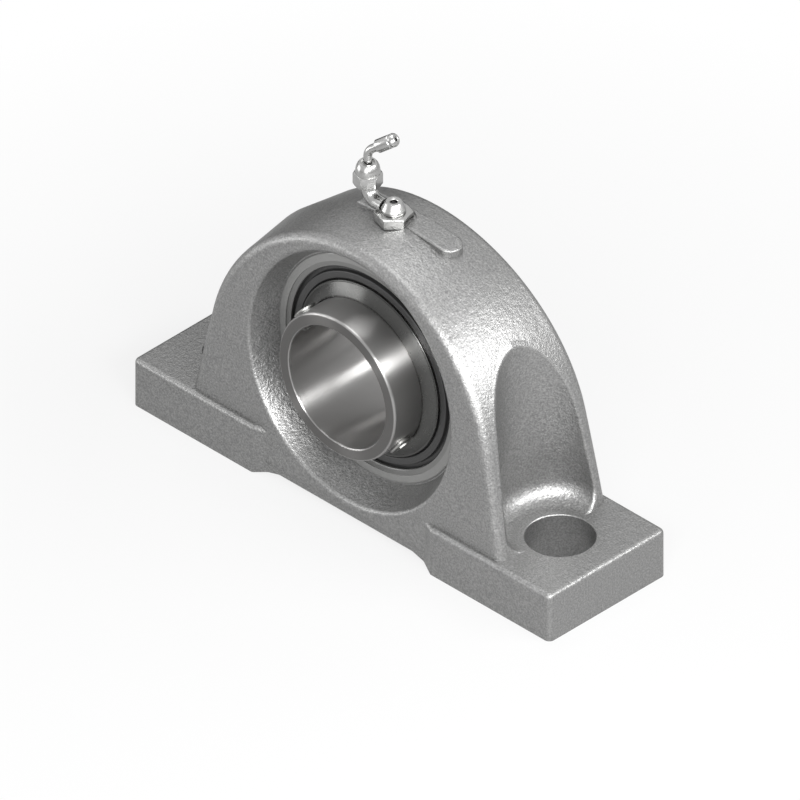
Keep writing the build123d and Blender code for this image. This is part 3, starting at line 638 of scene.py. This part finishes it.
def ray_kinds(material):
    """Whether a ray comes from the camera, and whether it comes off metal or through glass."""
    ray = add_node(material, "LightPath").outputs
    kinds = {0: ray["Is Glossy Ray"], 1: ray["Is Transmission Ray"]}
    return ray["Is Camera Ray"], add_node(material, "Math", kinds, operation="MAXIMUM")


FLOOR_SIZE = 40
FLOOR_GAP = 0.05 * MM
SHADOW_NEAR, SHADOW_END = 120 * MM, 320 * MM
WHITE_NEAR = 0.82
WHITE_IN_METAL = 0.4
bpy.ops.mesh.primitive_plane_add(size=FLOOR_SIZE, location=(0, 0, -FLOOR_GAP))
floor = bpy.context.object
floor.name = "floor"
white = new_material("white_floor")
feed(white, Base_Color=linear("#aeaeae"), Roughness=0.6)
from_camera, bounced = ray_kinds(white)
where = add_node(white, "TexCoord").outputs["Object"]
far = add_node(white, "VectorMath", {0: where}, operation="LENGTH").outputs["Value"]
clear = add_node(white, "MapRange", {
    "Value": far, "From Min": SHADOW_NEAR, "From Max": SHADOW_END, "To Min": WHITE_NEAR, "To Max": 1.0,
})
direct = add_node(white, "Math", {0: from_camera, 1: clear}, operation="MULTIPLY")
mirrored = add_node(white, "Math", {0: bounced, 1: WHITE_IN_METAL}, operation="MULTIPLY")
share = add_node(white, "Math", {0: direct, 1: mirrored}, operation="MAXIMUM")
glow = add_node(white, "Emission", {"Color": linear("#ffffff"), "Strength": 1.0})
lit = white.node_tree.nodes["Principled BSDF"]
mixed = add_node(white, "MixShader", {0: share, 1: lit, 2: glow})
white.node_tree.links.new(mixed.outputs[0], white.node_tree.nodes["Material Output"].inputs["Surface"])
floor.data.materials.append(white)

world = bpy.data.worlds.new("world")
bpy.context.scene.world = world
world.use_nodes = True
sky = world.node_tree.nodes["Background"]
from_camera, bounced = ray_kinds(world)
seen = add_node(world, "Math", {0: from_camera, 1: bounced}, operation="MAXIMUM")
strength = add_node(world, "MapRange", {"Value": seen, "To Min": 0.1, "To Max": 1.0})
world.node_tree.links.new(strength.outputs[0], sky.inputs["Strength"])
sky.inputs["Color"].default_value = linear("#ffffff")

LAMP_DISTANCE = 0.9


def lamp(name, toward, size, power):
    """A soft area lamp of a size in metres and a power in watts, that looks at the part's middle."""
    light = bpy.data.objects.new(name, bpy.data.lights.new(name, "AREA"))
    bpy.context.scene.collection.objects.link(light)
    direction = Vector(toward).normalized()
    light.data.shape = "RECTANGLE"
    light.data.size, light.data.size_y = size
    light.data.energy = power
    light.location = middle + direction * LAMP_DISTANCE
    light.rotation_euler = direction.to_track_quat("Z", "Y").to_euler()


lamp("key_lamp", toward=(0.75, 0.06, 0.58), size=(1.2, 0.24), power=12.5)
lamp("streak_lamp", toward=(0.64, -0.54, 0.54), size=(0.5, 0.18), power=9.0)
lamp("front_lamp", toward=(0.48, -0.84, 0.26), size=(0.45, 0.45), power=2.0)
lamp("low_left_lamp", toward=(-0.78, -0.62, 0.10), size=(0.45, 0.35), power=2.4)
lamp("left_lamp", toward=(-0.66, -0.25, 0.70), size=(0.45, 0.45), power=0.6)
lamp("top_lamp", toward=(-0.15, 0.1, 0.98), size=(0.45, 0.45), power=3.0)

CARD_HEIGHT = 60 * MM
CARD_DISTANCE = 0.55
CARD_SIZE = (0.75, 0.4, 1)
black = new_material("black_card")
feed(black, Base_Color=linear("#202020"), Roughness=0.9)
toward_card = Vector((-0.70, 0.70, -0.02)).normalized()
bpy.ops.mesh.primitive_plane_add(size=1, location=Vector((0, 0, CARD_HEIGHT)) + toward_card * CARD_DISTANCE)
card = bpy.context.object
card.name = "dark_flag_left"
card.scale = CARD_SIZE
card.rotation_euler = toward_card.to_track_quat("Z", "Y").to_euler()
card.data.materials.append(black)
card.visible_camera = False
card.visible_diffuse = False
card.visible_shadow = False

bpy.context.scene.view_settings.view_transform = "Standard"
